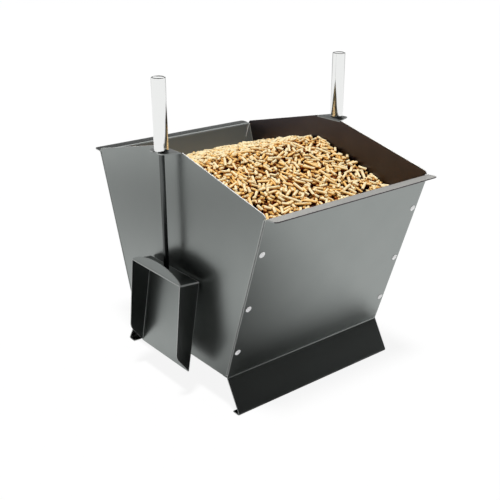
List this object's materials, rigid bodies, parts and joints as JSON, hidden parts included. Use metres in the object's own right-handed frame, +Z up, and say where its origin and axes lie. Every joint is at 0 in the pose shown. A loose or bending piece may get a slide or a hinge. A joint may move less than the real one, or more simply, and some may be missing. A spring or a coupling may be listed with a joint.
{
  "type": "pellet bucket",
  "caption": "Flared sheet-steel bucket on splayed feet for wood pellets, riveted at its corner seams, with a hanging shovel on each side held by a bright grip in a slotted ear.",
  "frame": {"origin": "on the floor, under the middle of the bucket", "axes": "+Z up, -Y towards the front wall, +X towards the right shovel"},
  "size_m": [0.3898, 0.4454, 0.4552],
  "materials": {
    "powder_coated_steel": "satin graphite powder coat with metal flake",
    "blackened_steel": "satin black coat on round bar",
    "rivet_aluminium": "bright dome heads",
    "polished_steel": "mirror-polished round bar",
    "wood_pellets": "pressed softwood, matt"
  },
  "bodies": {
    "bucket": {"front_panel": "powder_coated_steel", "back_panel": "powder_coated_steel", "left_side_panel": "powder_coated_steel", "right_side_panel": "powder_coated_steel", "floor_plate": "powder_coated_steel", "rivet_front_left_1": "rivet_aluminium", "rivet_front_left_2": "rivet_aluminium", "rivet_front_left_3": "rivet_aluminium", "rivet_front_right_1": "rivet_aluminium", "rivet_front_right_2": "rivet_aluminium", "rivet_front_right_3": "rivet_aluminium", "rivet_back_left_1": "rivet_aluminium", "rivet_back_left_2": "rivet_aluminium", "rivet_back_left_3": "rivet_aluminium", "rivet_back_right_1": "rivet_aluminium", "rivet_back_right_2": "rivet_aluminium", "rivet_back_right_3": "rivet_aluminium", "pellet_fill": "wood_pellets"},
    "left_shovel": {"left_grip": "polished_steel", "left_rod": "blackened_steel", "left_scoop": "powder_coated_steel"},
    "right_shovel": {"right_grip": "polished_steel", "right_rod": "blackened_steel", "right_scoop": "powder_coated_steel"}
  },
  "joints": [
    {"name": "left_shovel_pull", "type": "slide", "parent": "bucket", "child": "left_shovel", "axis": [-1, 0, 0], "range_m": [0, 0.06]},
    {"name": "right_shovel_pull", "type": "slide", "parent": "bucket", "child": "right_shovel", "axis": [1, 0, 0], "range_m": [0, 0.06]}
  ]
}
